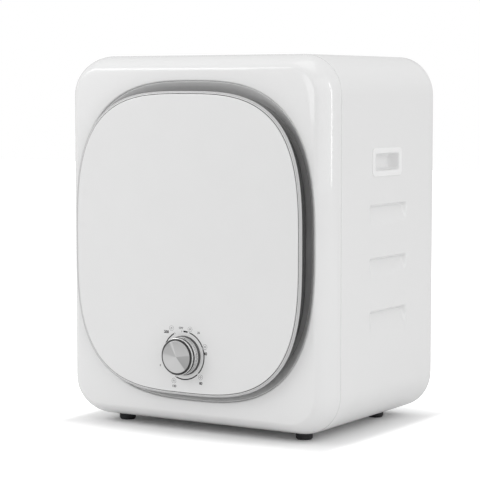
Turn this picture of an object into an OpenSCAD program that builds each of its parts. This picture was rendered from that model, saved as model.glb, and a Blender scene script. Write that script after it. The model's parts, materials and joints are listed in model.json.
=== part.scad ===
// Compact vented tumble dryer: a rounded steel cabinet whose front is almost wholly a
// squircle door with one knob, over a belt-driven drum with a coaxial rear fan.
// X runs across the front, Y from front to rear, Z up from the floor.
// Depths named ..._y are measured back from the face of the front frame.

/* [Cabinet] */
// Width of the cabinet
body_w = 490; // [480:1:540]
// Height of the cabinet without its feet
body_h = 588; // [580:1:640]
// Depth of the cabinet from the front face to the rear edge
body_d = 357; // [350:1:420]
// Corner radius of the cabinet seen from the front
corner_r = 64; // [50:1:76]
// Thickness of the sheet steel
sheet_t = 1.5; // [1:0.1:2]
// Width of the turned-in flange at the rear edge
rear_flange_w = 16; // [14:1:22]
// Thickness of the rear cover
cover_t = 1.2; // [1:0.1:2]

/* [Feet] */
// Height of a rubber foot
foot_h = 12; // [9:1:20]
// Radius of a rubber foot
foot_r = 13.5; // [10:0.5:16]
// Distance of a foot from where the floor starts to curve up
foot_inset = 11; // [9:1:30]
// Distance of the front feet from the front frame
foot_set = 18; // [16:1:30]

/* [Front frame] */
// Depth of the moulded front frame
frame_d = 46; // [42:1:54]
// Sideways reach of the frame's soft edge
soft_w = 23; // [16:1:26]
// Fullness of the soft edge, where 2 is an ellipse
soft_n = 1.7; // [1.5:0.1:2.4]
// Wall of the front frame
frame_t = 2.5; // [2:0.1:3]
// Width of the frame beside the door recess
frame_side = 22; // [20:0.5:24]
// Width of the frame above and below the door recess
frame_band = 42; // [38:0.5:46]
// Distance of the recess's middle above the cabinet's middle
opening_rise = 1; // [-2:0.5:4]
// Squareness of the door recess, where 2 is an ellipse
opening_n = 2.87; // [2.7:0.01:3.2]
// Depth of the door recess
recess_d = 24; // [23:1:30]
// Rounding of the frame's edge at the recess
edge_round = 2.5; // [1.5:0.5:3]
// Sideways reach of the lip that slopes down to the recess floor
lip_w = 17; // [14:0.5:17.5]
// Thickness of the lip along the depth
lip_t = 3; // [2:0.1:4]

/* [Door] */
// Gap beside the door
door_gap = 10; // [9.5:0.5:12]
// Gap above and below the door
door_gap_z = 15; // [12:0.5:18]
// Distance of the door's middle below the recess's middle
door_drop = 2; // [0:0.5:3]
// Squareness of the door, where 2 is an ellipse
door_n = 3.1; // [2.9:0.01:3.3]
// How far the rim stands in front of the frame
rim_reach = 19; // [17:0.5:21]
// Depth of the rim
rim_t = 6.5; // [5:0.1:6.5]
// Width of the rim seen from the front
rim_band = 4; // [3:0.5:6]
// Rounding of the rim's front edge
rim_round = 2.5; // [1.5:0.5:3]
// How far the front panel stands proud of the rim
panel_proud = 2; // [1.5:0.1:3]
// Thickness of the front panel
panel_t = 3; // [2.5:0.1:4]
// Width of the bright line round the panel
trim_w = 1.2; // [1:0.1:2]
// Depth of the door liner behind the rim
liner_d = 26.5; // [23.5:0.5:26.5]
// Wall of the door liner
liner_t = 2.5; // [2:0.1:3]
// Height of the raised disc on the liner
liner_bulge = 15; // [12:1:17]

/* [Hinge] */
// Distance of the hinge axis from the door's edge
hinge_inset = 7; // [6.5:0.5:8]
// Depth of the hinge axis
hinge_y = -8; // [-8.5:0.1:-7.5]
// Distance of each hinge from the middle of the door
hinge_spread = 62; // [50:1:66]
// Height of one hinge
hinge_h = 40; // [34:1:44]
// Radius of a hinge knuckle
knuckle_r = 4; // [3.6:0.1:4.2]
// Radius of a hinge pin
pin_r = 2; // [1.5:0.1:2.2]

/* [Knob] */
// Height of the knob's axis above the door's lower edge
knob_rise = 61; // [57:1:68]
// Radius of the knob
knob_r = 30; // [27:0.5:33]
// How far the knob stands in front of the panel
knob_h = 22; // [18:1:26]
// Radius of the knob's waist
waist_r = 27.5; // [25:0.5:28.5]
// Length of the knob's head
head_l = 9; // [7:0.5:11]
// Radius of the ring under the knob
dial_r = 31.5; // [30:0.5:35]
// Radius of the metal cap
cap_r = 25.5; // [23:0.5:28]
// Radius of the switch shaft
shaft_r = 3; // [2.5:0.1:4]

/* [Drum] */
// Space between the drum and the cabinet's side
drum_room = 35; // [31:1:45]
// Thickness of the drum wall
drum_t = 2; // [1.5:0.1:3]
// Distance of the drum's axis above the cabinet's middle
drum_rise = 39; // [34:1:42]
// Width of the drum's front wall, from the drum's skin in to the loading mouth
mouth_step = 60; // [58:1:70]
// Height of a lifter
lifter_h = 36; // [28:1:44]
// Number of lifters
lifter_count = 3; // [2:1:4]
// Radius of the drum shaft
axle_r = 10; // [8:0.5:11]

/* [Lint filter] */
// Radius of the lint filter
filter_r = 84; // [76:1:92]
// Depth of the lint filter
filter_d = 15; // [12:1:20]

/* [Drive] */
// Distance of the motor's axis from the cabinet's side
motor_inset = 125; // [115:1:135]
// Height of the motor's axis above the floor sheet
motor_rise = 64.5; // [61:0.5:68]
// Radius of the motor
motor_r = 46; // [40:1:48]
// Length of the motor
motor_l = 100; // [90:1:120]
// Depth of the drum belt's middle
belt_y = 130; // [120:1:136]
// Width of the belts
belt_w = 8; // [6:1:10]
// Thickness of the belts
belt_t = 3; // [2:0.5:4]
// Radius of the motor shaft
motor_shaft_r = 5; // [4:0.5:6]
// Radius of the motor's drum pulley
drum_drive_r = 8; // [7:0.5:12]
// Radius of the motor's fan pulley
fan_drive_r = 30; // [26:1:36]
// Radius of the fan's pulley
fan_pulley_r = 34; // [32:1:38]

/* [Air path] */
// Radius of the fan impeller
fan_r = 90; // [84:1:96]
// Width of the fan impeller
fan_w = 18; // [14:1:18]
// Number of fan blades
blade_count = 20; // [14:1:24]
// Radius of the fan housing
scroll_r = 118; // [112:1:124]
// Distance of the exhaust from the cabinet's side
exhaust_inset = 125; // [115:1:135]
// Distance of the exhaust below the drum's axis
exhaust_drop = 195; // [185:1:205]
// Outer radius of the exhaust collar
exhaust_r = 49; // [45:0.5:52]
// How far the exhaust collar stands out behind
collar_l = 16; // [12:1:24]
// Width of the heater box
heater_w = 130; // [110:1:140]
// Height of the heater box
heater_h = 70; // [60:1:76]

/* [Side pockets] */
// Depth at which the pressed pockets start
pocket_y = 137; // [120:1:150]
// Length of a pressed pocket
pocket_l = 128; // [100:1:140]
// Height of a pressed pocket
pocket_h = 35; // [28:1:42]
// Depth of a pressed pocket
pocket_in = 7; // [5:0.5:9]
// Distance of the top pocket's upper edge above the cabinet's middle
pocket_rise = 60; // [54:1:66]
// Distance from one pocket to the next
pocket_pitch = 84; // [76:1:90]
// Depth at which the handle starts
handle_y = 145; // [130:1:160]
// Length of the handle cup
handle_l = 98; // [90:1:110]
// Height of the handle cup
handle_h = 45; // [40:1:52]
// Distance of the handle cup's lower edge above the cabinet's middle
handle_rise = 103; // [98:1:110]
// Depth of the handle cup
handle_in = 22; // [18:1:28]
// Width of the frame round the handle cup
handle_rim = 9; // [7:0.5:11]

/* [Hidden] */
$fn = 64;

// Clearances
seat_gap = 0.3;
run_gap = 0.05;
eps = 0.5;

// Middle of the cabinet and the sheet's inside
body_z = foot_h + body_h / 2;
pocket_top_z = body_z + pocket_rise;
handle_z = body_z + handle_rise;
inner_w = body_w - 2 * sheet_t;
inner_h = body_h - 2 * sheet_t;
inner_r = corner_r - sheet_t;
floor_z = foot_h + sheet_t;

// Outline and place of the recess and the door in it
opening_w = body_w - 2 * frame_side;
opening_h = body_h - 2 * frame_band;
opening_z = body_z + opening_rise;
door_w = opening_w - 2 * door_gap;
door_h = opening_h - 2 * door_gap_z;
door_z = opening_z - door_drop;
hinge_x = door_w / 2 - hinge_inset;
knob_z = door_z - door_h / 2 + knob_rise;

// Axes of the drum, the motor and the exhaust
drum_r = body_w / 2 - drum_room;
mouth_r = drum_r - mouth_step;
drum_z = body_z + drum_rise;
motor_x = body_w / 2 - motor_inset;
motor_z = floor_z + motor_rise;
exhaust_x = body_w / 2 - exhaust_inset;
exhaust_z = drum_z - exhaust_drop;

// Depth stations of the door, front to rear
rim_y = -rim_reach;
panel_y = rim_y - panel_proud;
panel_back_y = panel_y + panel_t;
rim_back_y = rim_y + rim_t;
liner_y = rim_back_y + liner_d;
knob_y = panel_y - knob_h;

// The model is centred on its own depth
total_d = -knob_y + body_d + cover_t + collar_l;
front_y = -total_d / 2 - knob_y;

// Depth stations of the inside, front to rear
tongue_l = 6;
pulley_w = belt_w + 4;
bulk_t = 3;
bulk_back_y = recess_d + bulk_t;
bulk_rim = 4;
collar_t = 6;
collar_reach = 24;
collar_back_y = bulk_back_y + collar_reach;
collar_flange = 9;
front_gap = 9;
drum_front_y = bulk_back_y + front_gap;
rear_room = 45;
wall_y = body_d - rear_room;
wall_t = 2;
wall_back_y = wall_y + wall_t;
drum_back_y = wall_y - 8;
fan_y = wall_back_y + 4;
foot_x = body_w / 2 - corner_r - foot_inset;
foot_front_y = frame_d + foot_set;
foot_rear_y = wall_y - 12;
scroll_d = 26;
scroll_y = wall_back_y + scroll_d;
fan_belt_y = scroll_y + pulley_w / 2 + 2;
axle_end_y = fan_belt_y + pulley_w / 2 + 1;

// Radii round the drum's neck and shaft
neck_r = mouth_r + collar_t;
glide_t = 5;
glide_r = neck_r + glide_t;
bore_r = 17;
sleeve_r = 22;
hub_r = 28;
eye_r = 72;

// Door outline steps
panel_w = door_w - 2 * rim_band - 2 * trim_w;
panel_h = door_h - 2 * rim_band - 2 * trim_w;
rim_ledge = 15;
rim_hole_w = door_w - 2 * rim_ledge;
rim_hole_h = door_h - 2 * rim_ledge;
liner_edge = 12;
liner_w = door_w - 2 * liner_edge;
liner_h = door_h - 2 * liner_edge;
panel_bevel = 0.8;

// Sheet and feet of a hinge
web_t = 3;
leaf_t = 2;
leaf_l = 22;
bracket_foot = 20;

// Places of the catch and the door switch on the bulkhead
catch_x = door_w / 2 - 27;
catch_w = 16;
catch_h = 36;
catch_t = 6;
switch_inset = 63;
switch_rise = 72;
switch_x = door_w / 2 - switch_inset;
switch_z = door_z - door_h / 2 + switch_rise;
switch_w = 18;
switch_h = 28;
switch_d = 16;
plunger_r = 4;

// Places of the motor and the cord's gland
cord_inset = 55;
cord_rise = 58;
cord_x = body_w / 2 - cord_inset;
cord_z = foot_h + cord_rise;
cord_r = 8;
motor_y = belt_y + pulley_w / 2 + 14;
motor_boss = 6;

// A superellipse of the given width, height and squareness
module squircle(w, h, n, steps = 88)
    polygon([for (i = [0:steps - 1]) let (a = 360 * (i + 0.5) / steps)
        [sign(cos(a)) * w / 2 * pow(abs(cos(a)), 2 / n),
         sign(sin(a)) * h / 2 * pow(abs(sin(a)), 2 / n)]]);

// A rectangle with true arcs at its corners
module round_rect(w, h, r) {
    square([w - 2 * r, h], center = true);
    square([w, h - 2 * r], center = true);
    for (sx = [-1, 1], sy = [-1, 1])
        translate([sx * (w / 2 - r), sy * (h / 2 - r)]) circle(r);
}

// A superellipse that is scaled by a ratio between two depths
module squircle_funnel(y0, y1, w, h, n, ratio)
    translate([0, y0, 0]) rotate([-90, 0, 0]) linear_extrude(y1 - y0, scale = ratio)
        squircle(w, h, n);

// Carries a front-view outline through the depths y0 to y1
module slab(y0, y1)
    translate([0, y1, 0]) rotate([90, 0, 0]) linear_extrude(y1 - y0) children();

// A round bar along the depth
module rod(x, z, y0, y1, r)
    translate([x, y1, z]) rotate([90, 0, 0]) cylinder(r = r, h = y1 - y0);

// A round tube along the depth
module ring(x, z, y0, y1, outer, inner)
    slab(y0, y1) translate([x, z]) difference() {
        circle(outer);
        circle(inner);
    }

// Moves a piece drawn from the frame's face to its place
module placed() translate([0, front_y, 0]) children();

// Half of the frame's section: radial place against depth
function crown_points(r, y0, y1, w, n, steps = 9) = concat(
    [[0, y1], [r, y1]],
    [for (i = [0:steps]) let (a = 90 * i / steps)
        [r - w * (1 - pow(cos(a), 2 / n)), y1 - (y1 - y0) * pow(sin(a), 2 / n)]],
    [[0, y0]]);

// A rounded slab whose front edge rolls back softly
module crown(w, h, r, y0, y1, soft, n) {
    points = crown_points(r, y0, y1, soft, n);
    for (sx = [0, 1], sz = [0, 1]) mirror([sx, 0, 0]) mirror([0, 0, sz])
        translate([w / 2 - r, 0, r - h / 2]) rotate([-90, 0, 0])
            rotate_extrude(angle = 90) polygon(points);
    for (sx = [0, 1]) mirror([sx, 0, 0])
        translate([w / 2 - r, 0, r - h / 2]) linear_extrude(h - 2 * r) polygon(points);
    for (sz = [0, 1]) mirror([0, 0, sz])
        translate([w / 2 - r, 0, h / 2 - r]) rotate([0, -90, 0])
            linear_extrude(w - 2 * r) polygon(points);
    translate([r - w / 2, y0, r - h / 2]) cube([w - 2 * r, y1 - y0, h - 2 * r]);
}

// One pressed side pocket, deepest under its upper edge
module pocket_wedge(depth, grow)
    translate([body_w / 2, pocket_y + pocket_l + grow, 0]) rotate([90, 0, 0])
        linear_extrude(pocket_l + 2 * grow)
            polygon([[eps, pocket_top_z + grow], [-depth, pocket_top_z + grow - depth / 2],
                [0, pocket_top_z - pocket_h - grow], [eps, pocket_top_z - pocket_h - grow]]);

// The row of pockets on both sides
module pocket_rows(depth, grow)
    for (sx = [0, 1]) mirror([sx, 0, 0]) for (row = [0:2])
        translate([0, 0, -row * pocket_pitch]) pocket_wedge(depth, grow);

// The opening or body of a side handle
module handle_block(x0, x1, inset, r = 7)
    translate([x0, handle_y + handle_l / 2, handle_z + handle_h / 2]) rotate([90, 0, 90])
        linear_extrude(x1 - x0)
            round_rect(handle_l - 2 * inset, handle_h - 2 * inset, r - inset / 3);

handle_wall = 2.5;
handle_lip = 1.2;

module cabinet_shell() color("gainsboro") placed() difference() {
    union() {
        difference() {
            translate([0, 0, body_z]) slab(frame_d, body_d) round_rect(body_w, body_h, corner_r);
            translate([0, 0, body_z]) slab(frame_d - eps, body_d - sheet_t)
                round_rect(inner_w, inner_h, inner_r);
            translate([0, 0, body_z]) slab(body_d - 2 * sheet_t, body_d + eps)
                round_rect(inner_w - 2 * rear_flange_w, inner_h - 2 * rear_flange_w,
                    inner_r - rear_flange_w);
        }
        intersection() {
            pocket_rows(pocket_in + sheet_t, sheet_t);
            translate([0, 0, body_z]) slab(frame_d, body_d) round_rect(body_w, body_h, corner_r);
        }
    }
    pocket_rows(pocket_in, 0);
    for (sx = [0, 1]) mirror([sx, 0, 0])
        handle_block(body_w / 2 - 3 * sheet_t, body_w / 2 + eps,
            handle_rim - handle_wall - seat_gap);
}

module front_frame() color("whitesmoke") placed() {
    difference() {
        translate([0, 0, body_z]) crown(body_w, body_h, corner_r, 0, frame_d, soft_w, soft_n);
        difference() {
            translate([0, 0, body_z]) crown(body_w - 2 * frame_t, body_h - 2 * frame_t,
                corner_r - frame_t, frame_t, frame_d + eps, soft_w, soft_n);
            translate([0, 0, opening_z]) slab(0, recess_d)
                squircle(opening_w + 2 * frame_t, opening_h + 2 * frame_t, opening_n);
        }
        translate([0, 0, opening_z]) slab(-eps, frame_d) squircle(opening_w, opening_h, opening_n);
        translate([0, 0, opening_z]) squircle_funnel(-edge_round, edge_round,
            opening_w + 4 * edge_round, opening_h + 4 * edge_round, opening_n,
            opening_w / (opening_w + 4 * edge_round));
    }
    translate([0, 0, body_z]) slab(frame_d - tongue_l, frame_d + tongue_l) difference() {
        round_rect(inner_w - 2 * seat_gap, inner_h - 2 * seat_gap, inner_r - seat_gap);
        round_rect(inner_w - 2 * frame_t, inner_h - 2 * frame_t, inner_r - frame_t);
    }
}

// The room in the recess, which narrows from the frame's edge to the recess floor
module recess_funnel(shift)
    squircle_funnel(edge_round - eps + shift, recess_d + eps + shift, opening_w - 2 * eps,
        opening_h - 2 * eps, opening_n, 1 - 2 * lip_w / opening_w);

// The grey lip: a sloping wall from the frame's edge to the recess floor, slotted for the hinges
module recess_lip() color("gray") placed() difference() {
    translate([0, 0, opening_z]) difference() {
        slab(edge_round, recess_d) squircle(opening_w, opening_h, opening_n);
        recess_funnel(0);
        difference() {
            slab(edge_round + lip_t, recess_d + eps)
                squircle(opening_w + 2 * eps, opening_h + 2 * eps, opening_n);
            recess_funnel(lip_t);
        }
    }
    each_hinge() translate([-hinge_x - web_t / 2 - 1, edge_round, -hinge_h / 2 - 2])
        cube([bracket_foot, recess_d, hinge_h + 4]);
}

module front_bulkhead() color("silver") placed() difference() {
    translate([0, 0, opening_z]) slab(recess_d, bulk_back_y)
        squircle(opening_w + 2 * (frame_t + bulk_rim), opening_h + 2 * (frame_t + bulk_rim), opening_n);
    rod(0, drum_z, recess_d - eps, bulk_back_y + eps, mouth_r);
    rod(switch_x, switch_z, recess_d - eps, bulk_back_y + eps, plunger_r + 2);
}

// The flanged ring on which the drum's felt runs
module mouth_collar() color("gainsboro") placed() {
    ring(0, drum_z, bulk_back_y, collar_back_y, neck_r, mouth_r);
    ring(0, drum_z, bulk_back_y, bulk_back_y + sheet_t, neck_r + collar_flange, neck_r);
}

seal_w = 8;

module door_seal() color("dimgray") placed()
    ring(0, drum_z, liner_y + seat_gap, recess_d, mouth_r + 3 + seal_w, mouth_r + 3);

module drum_glide_ring() color("tan") placed()
    ring(0, drum_z, drum_front_y + 2, collar_back_y, glide_r, neck_r);

duct_rim = 12;
vent_count = 5;
vent_pitch = 24;
vent_inset = 54;
vent_w = 10;
vent_h = 70;

module rear_bulkhead() color("silver") placed() difference() {
    translate([0, 0, body_z]) slab(wall_y, wall_back_y)
        round_rect(inner_w - 2 * seat_gap, inner_h - 2 * seat_gap, inner_r - seat_gap);
    rod(0, drum_z, wall_y - eps, wall_back_y + eps, eye_r + 2);
    rod(motor_x, motor_z, wall_y - eps, wall_back_y + eps, motor_shaft_r + 6);
    translate([heater_x, 0, heater_z]) slab(wall_y - eps, wall_back_y + eps)
        round_rect(heater_w - 2 * duct_rim, heater_h - 2 * duct_rim, heater_r);
    for (i = [0:vent_count - 1])
        translate([vent_pitch * i - inner_w / 2 + vent_inset, 0, foot_h + cord_rise])
            slab(wall_y - eps, wall_back_y + eps) round_rect(vent_w, vent_h, vent_w / 2 - 0.1);
}

spider_t = 4;
spider_w = 10;
bearing_l = 12;

module bearing_housing() color("darkgray") placed() {
    ring(0, drum_z, wall_y - spider_t, axle_end_y, sleeve_r, bore_r);
    ring(0, drum_z, wall_y - spider_t, wall_y, eye_r + 8, eye_r - 4);
    for (a = [45:90:315]) translate([0, wall_y, drum_z]) rotate([90, a, 0])
        translate([sleeve_r - 1, -spider_w / 2, 0]) cube([eye_r - sleeve_r - 2, spider_w, spider_t]);
}

module drum_bearings() color("lightslategray") placed()
    for (y = [wall_y, axle_end_y - bearing_l - 1])
        ring(0, drum_z, y, y + bearing_l, bore_r - run_gap, axle_r + run_gap);

duct_t = 2;
cover_back_y = body_d + cover_t;
heater_x = heater_w / 2 + 15;
heater_z = drum_z + scroll_r + heater_h / 2 + 3;
heater_r = 6;
heater_t = 1.2;
heater_back_y = wall_back_y + scroll_d - duct_t;
fin_pitch = 9;
fin_gap = 6.5;

// Outline of the fan housing with its way to the exhaust
module scroll_outline(grow) {
    reach = norm([exhaust_x, exhaust_drop]);
    translate([0, drum_z]) circle(scroll_r + grow);
    translate([-exhaust_x, exhaust_z]) circle(exhaust_r + 5 + grow);
    translate([0, drum_z]) rotate(180 + atan(exhaust_drop / exhaust_x))
        translate([0, 3 - exhaust_r - grow]) square([reach, 2 * (exhaust_r - 3 + grow)]);
}

module fan_housing() color("lightsteelblue") placed() {
    difference() {
        slab(wall_back_y, scroll_y) scroll_outline(0);
        slab(wall_back_y - eps, scroll_y - duct_t) scroll_outline(-duct_t);
        rod(0, drum_z, wall_back_y, scroll_y + eps, hub_r + 4);
        rod(-exhaust_x, exhaust_z, wall_back_y, scroll_y + eps, exhaust_r - duct_t);
    }
}

module exhaust_collar() color("white") placed() {
    ring(-exhaust_x, exhaust_z, scroll_y, cover_back_y + collar_l, exhaust_r, exhaust_r - duct_t);
    ring(-exhaust_x, exhaust_z, cover_back_y, cover_back_y + duct_t, exhaust_r + 8, exhaust_r - 1);
}

module heater_box() color("silver") placed() difference() {
    translate([heater_x, 0, heater_z]) slab(wall_back_y, heater_back_y)
        round_rect(heater_w, heater_h, heater_r);
    translate([heater_x, 0, heater_z]) slab(wall_back_y - eps, heater_back_y + eps)
        round_rect(heater_w - 2 * heater_t, heater_h - 2 * heater_t, heater_r - 1);
}

// A finned heating block: plates across the air path on end bars
module ptc_heater() color("goldenrod") placed() translate([heater_x, 0, heater_z])
    slab(wall_back_y + 2 * duct_t, heater_back_y - 2 * duct_t) difference() {
        round_rect(heater_w - 2 * heater_t - 2 * seat_gap, heater_h - 2 * heater_t - 2 * seat_gap,
            heater_r - 1);
        for (i = [-6:6]) translate([i * fin_pitch, 0])
            square([fin_gap, heater_h - 20], center = true);
    }

louvre_w = 56;
louvre_gap = 12;
louvre_pitch = 12;
louvre_slot = 4;
louvre_h = 5;
louvre_t = 1.2;
intake_shift = 40;
intake_drop = 405;
cover_edge = 5;
screw_inset = 12.5;
screw_r = 4;
screw_h = 2;

// Two banks of slots, each slot under its own hood: heater air above, cooling air below
module louvre_bank()
    for (low = [0, 1]) for (row = [0:5]) for (side = [-1, 1])
        translate([heater_x - low * intake_shift + side * (louvre_w + louvre_gap) / 2, 0,
            heater_z - 2.5 * louvre_pitch - low * intake_drop + row * louvre_pitch]) children();

module rear_cover() color("lightgray") placed() {
    difference() {
        translate([0, 0, body_z]) slab(body_d, cover_back_y)
            round_rect(body_w - 2 * cover_edge, body_h - 2 * cover_edge, corner_r - cover_edge);
        rod(-exhaust_x, exhaust_z, body_d - eps, cover_back_y + eps, exhaust_r + seat_gap);
        rod(cord_x, cord_z, body_d - eps, cover_back_y + eps, cord_r + seat_gap);
        louvre_bank() slab(body_d - eps, cover_back_y + eps)
            square([louvre_w, louvre_slot], center = true);
    }
    louvre_bank() translate([-louvre_w / 2, cover_back_y, louvre_slot / 2])
        rotate([90, 0, 90]) linear_extrude(louvre_w)
            polygon([[-cover_t, 0], [0, 0], [louvre_h, -louvre_h], [louvre_h, louvre_t - louvre_h],
                [0, louvre_t], [-cover_t, louvre_t]]);
}

module cover_screws() color("slategray") placed() translate([0, 0, body_z])
    for (sx = [-1, 1]) for (sz = [-1, 1]) {
        rod(sx * (body_w / 2 - screw_inset), sz * body_h / 4, cover_back_y,
            cover_back_y + screw_h, screw_r);
        rod(sx * body_w / 4, sz * (body_h / 2 - screw_inset), cover_back_y,
            cover_back_y + screw_h, screw_r);
    }

module cord_gland() color("black") placed() {
    ring(cord_x, cord_z, body_d - cord_r, cover_back_y + cord_r, cord_r, cord_r / 2);
    ring(cord_x, cord_z, cover_back_y, cover_back_y + cord_r / 2, cord_r + 4, cord_r - 1);
}

module motor_body() color("steelblue") placed() difference() {
    union() {
        rod(motor_x, motor_z, motor_y, motor_y + motor_l, motor_r);
        rod(motor_x, motor_z, motor_y - motor_boss, motor_y + motor_l + motor_boss, 16);
    }
    rod(motor_x, motor_z, motor_y - motor_boss - eps, motor_y + motor_l + motor_boss + eps,
        motor_shaft_r + run_gap);
}

bracket_t = 4;
bracket_w = 80;

module motor_bracket() color("silver") placed()
    for (y = [motor_y + 2 * bracket_t, motor_y + motor_l - 3 * bracket_t]) difference() {
        translate([motor_x - bracket_w / 2, y, floor_z + sheet_t])
            cube([bracket_w, bracket_t, motor_z - floor_z - motor_r / 2]);
        rod(motor_x, motor_z, y - eps, y + bracket_t + eps, motor_r + 0.1);
    }

capacitor_x = 20;
capacitor_r = 20;
capacitor_l = 62;

module run_capacitor() color("whitesmoke") placed() {
    rod(capacitor_x, floor_z + sheet_t + capacitor_r, motor_y, motor_y + capacitor_l, capacitor_r);
    translate([capacitor_x - capacitor_r / 2, motor_y + capacitor_l / 4, floor_z + sheet_t])
        cube([capacitor_r, capacitor_l / 2, capacitor_r / 3]);
}

// A flat belt round two pulleys, as their common outline
module belt(y, x0, z0, r0, x1, z1, r1)
    slab(y - belt_w / 2, y + belt_w / 2) difference() {
        hull() {
            translate([x0, z0]) circle(r0 + belt_t + seat_gap);
            translate([x1, z1]) circle(r1 + belt_t + seat_gap);
        }
        hull() {
            translate([x0, z0]) circle(r0 + seat_gap);
            translate([x1, z1]) circle(r1 + seat_gap);
        }
    }

module drum_belt() color("black") placed()
    belt(belt_y, 0, drum_z, drum_r, motor_x, motor_z, drum_drive_r);

module fan_belt() color("black") placed()
    belt(fan_belt_y, 0, drum_z, fan_pulley_r, motor_x, motor_z, fan_drive_r);

module base_plate() color("silver") placed() difference() {
    translate([inner_r - inner_w / 2, frame_d + tongue_l + 1, floor_z])
        cube([inner_w - 2 * inner_r, wall_y - frame_d - tongue_l - 2, sheet_t]);
    for (sx = [-1, 1]) for (y = [foot_front_y, foot_rear_y])
        translate([sx * foot_x, y, floor_z - eps]) cylinder(r = 3, h = 2 * sheet_t + eps);
}

// A turned rubber foot that tapers to the floor, hollow for its screw
module foot(sx, y) color("dimgray") placed() translate([sx * foot_x, y, 0]) difference() {
    rotate_extrude() polygon([[0, 0], [foot_r - 2, 0], [foot_r, 2.5], [foot_r, foot_h], [0, foot_h]]);
    translate([0, 0, -eps]) cylinder(r = 5, h = foot_h / 2 + eps);
    translate([0, 0, -eps]) cylinder(r = 2.6, h = foot_h + 2 * eps);
}

module foot_front_left() foot(-1, foot_front_y);
module foot_front_right() foot(1, foot_front_y);
module foot_rear_left() foot(-1, foot_rear_y);
module foot_rear_right() foot(1, foot_rear_y);

module foot_screws() color("slategray") placed()
    for (sx = [-1, 1]) for (y = [foot_front_y, foot_rear_y]) translate([sx * foot_x, y, 0]) {
        translate([0, 0, foot_h / 2 - 3]) cylinder(r = 4.5, h = 3);
        translate([0, 0, foot_h / 2]) cylinder(r = 2.5, h = foot_h / 2);
    }

// A moulded cup with a lip outside and a finger ledge inside
module handle_cup() {
    difference() {
        union() {
            handle_block(body_w / 2, body_w / 2 + handle_lip, 0);
            handle_block(body_w / 2 - handle_in, body_w / 2 + handle_lip / 2, handle_rim - handle_wall);
        }
        handle_block(body_w / 2 - handle_in + handle_wall, body_w / 2 + handle_lip + eps, handle_rim);
    }
}

module handle_right() color("gainsboro") placed() handle_cup();
module handle_left() color("gainsboro") placed() mirror([1, 0, 0]) handle_cup();

terminal_w = 60;
terminal_d = 40;
terminal_h = 26;
terminal_pitch = 14;
terminal_slot = 8;

module terminal_block() color("ivory") placed()
    translate([-foot_x + 20, wall_y - terminal_pitch - terminal_d, floor_z + sheet_t]) difference() {
        cube([terminal_w, terminal_d, terminal_h]);
        for (i = [0:3]) translate([terminal_slot + i * terminal_pitch, -eps, terminal_h / 2])
            cube([terminal_slot, terminal_d * 3 / 4, terminal_h]);
    }

thermostat_r = 9;

module thermostat() color("silver") placed()
    translate([0, 0, heater_z + heater_h / 2 + 1.5 * thermostat_r]) {
        rod(heater_x, 0, wall_back_y, wall_back_y + thermostat_r, thermostat_r);
        rod(heater_x, 0, wall_back_y, wall_back_y + duct_t, 1.4 * thermostat_r);
    }

// One fixed hinge half: two ears on a web that stands on the recess floor
module hinge_bracket() {
    ear = hinge_h / 4 - seat_gap;
    difference() {
        union() {
            for (z = [-hinge_h / 2, hinge_h / 2 - ear]) translate([-hinge_x, hinge_y, z]) {
                cylinder(r = knuckle_r, h = ear);
                translate([-web_t / 2, 0, 0]) cube([web_t, recess_d - hinge_y, ear]);
            }
            translate([-hinge_x - web_t / 2, hinge_y + knuckle_r + 2, -hinge_h / 2])
                cube([web_t, recess_d - hinge_y - knuckle_r - 2, hinge_h]);
            translate([-hinge_x - web_t / 2, recess_d - web_t, -hinge_h / 2])
                cube([bracket_foot, web_t, hinge_h]);
        }
        translate([-hinge_x, hinge_y, -hinge_h]) cylinder(r = pin_r, h = 2 * hinge_h);
    }
}

module each_hinge()
    for (dz = [-1, 1]) translate([0, 0, door_z + dz * hinge_spread]) children();

module hinge_brackets() color("silver") placed() each_hinge() hinge_bracket();

module hinge_pins() color("lightslategray") placed() each_hinge()
    translate([-hinge_x, hinge_y, -hinge_h / 2]) cylinder(r = pin_r, h = hinge_h);

module catch_plate() color("silver") placed()
    translate([catch_x - catch_w / 2, recess_d - catch_t, door_z - catch_h / 2])
        cube([catch_w, catch_t, catch_h]);

module door_switch() color("ivory") placed() difference() {
    translate([switch_x - switch_w / 2, bulk_back_y, switch_z - switch_h / 2])
        cube([switch_w, switch_d, switch_h]);
    rod(switch_x, switch_z, bulk_back_y - eps, bulk_back_y + switch_d - 4, plunger_r + run_gap);
}

module door_panel() color("gainsboro") placed() difference() {
    translate([0, 0, door_z]) {
        slab(panel_y + panel_bevel, panel_back_y) squircle(panel_w, panel_h, door_n);
        squircle_funnel(panel_y, panel_y + panel_bevel, panel_w - 3 * panel_bevel,
            panel_h - 3 * panel_bevel, door_n, (panel_w - panel_bevel) / (panel_w - 3 * panel_bevel));
    }
    rod(0, knob_z, panel_y - eps, panel_back_y + eps, shaft_r + 1);
}

module door_rim() color("gainsboro") placed() translate([0, 0, door_z]) difference() {
    union() {
        slab(rim_y + rim_round, rim_back_y) squircle(door_w, door_h, door_n);
        squircle_funnel(rim_y, rim_y + rim_round, door_w - 2 * rim_round,
            door_h - 2 * rim_round, door_n, (door_w - rim_round / 2) / (door_w - 2 * rim_round));
    }
    slab(rim_y - eps, rim_back_y + eps) squircle(rim_hole_w, rim_hole_h, door_n);
    slab(rim_y - eps, panel_back_y)
        squircle(door_w - 2 * rim_band + 2 * seat_gap, door_h - 2 * rim_band + 2 * seat_gap, door_n);
}

module door_edge_trim() color("white") placed()
    translate([0, 0, door_z]) slab(rim_y - panel_proud / 2, panel_back_y) difference() {
        squircle(panel_w + 2 * trim_w, panel_h + 2 * trim_w, door_n);
        squircle(panel_w + 2 * seat_gap, panel_h + 2 * seat_gap, door_n);
    }

bulge_r = mouth_r - 9;
bulge_slope = 8;

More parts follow.
